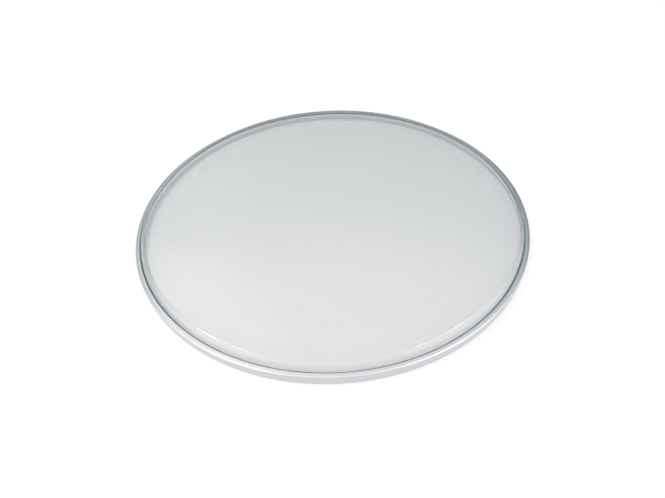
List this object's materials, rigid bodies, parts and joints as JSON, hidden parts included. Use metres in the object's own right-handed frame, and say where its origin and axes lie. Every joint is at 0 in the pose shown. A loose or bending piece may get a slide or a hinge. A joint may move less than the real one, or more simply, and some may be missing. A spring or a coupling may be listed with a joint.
{
  "type": "drum head",
  "caption": "Clear drum head for a 14 inch drum: formed plastic film with a damping ring, potted in a rolled aluminium hoop.",
  "frame": {"origin": "centre of the plane that the hoop's base rests on", "axes": "+Z out of the playing face, along the head's axis; the head is round, so +X and +Y are any two directions across it, with the hoop's seam 58.5 degrees from +X towards +Y"},
  "size_m": [0.3694, 0.3694, 0.015],
  "materials": {
    "hoop_aluminium": "rolled strip, satin",
    "film_clear": "clear polyester film, glossy with a slight haze",
    "resin_amber": "cured potting resin",
    "control_ring_clear": "clear polyester film",
    "bond_clear": "clear transfer adhesive"
  },
  "bodies": {
    "root": {"flesh_hoop": "hoop_aluminium", "film": "film_clear", "potting_resin": "resin_amber", "control_ring": "control_ring_clear", "bond_ring": "bond_clear"}
  },
  "joints": []
}
